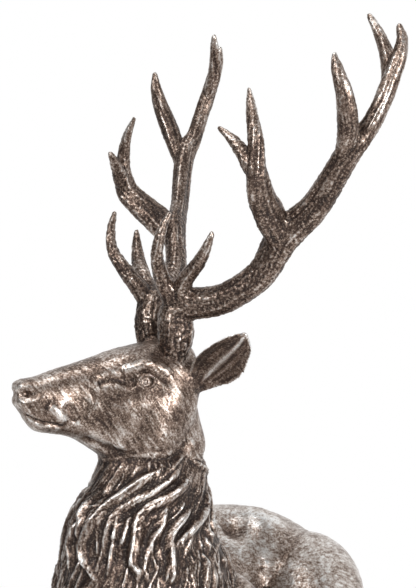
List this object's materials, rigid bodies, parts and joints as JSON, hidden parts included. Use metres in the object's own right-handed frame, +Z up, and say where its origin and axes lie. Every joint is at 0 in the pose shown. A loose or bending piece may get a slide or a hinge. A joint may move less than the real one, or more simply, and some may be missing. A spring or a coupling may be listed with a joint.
{
  "type": "reindeer figure",
  "caption": "Reclining stag figure with branching antlers, its raised head turned to one side and a maned neck, cast together with a low oval base.",
  "frame": {"origin": "centre of the base's underside", "axes": "+Z up, the chest faces -Y and the animal's left side is towards +X"},
  "size_m": [0.3287, 0.47, 0.5478],
  "materials": {
    "antique_silver": "antique silver over dark brown, rubbed bright on the raised parts, satin with fine speckle"
  },
  "bodies": {
    "root": {"stag": "antique_silver"}
  },
  "joints": []
}
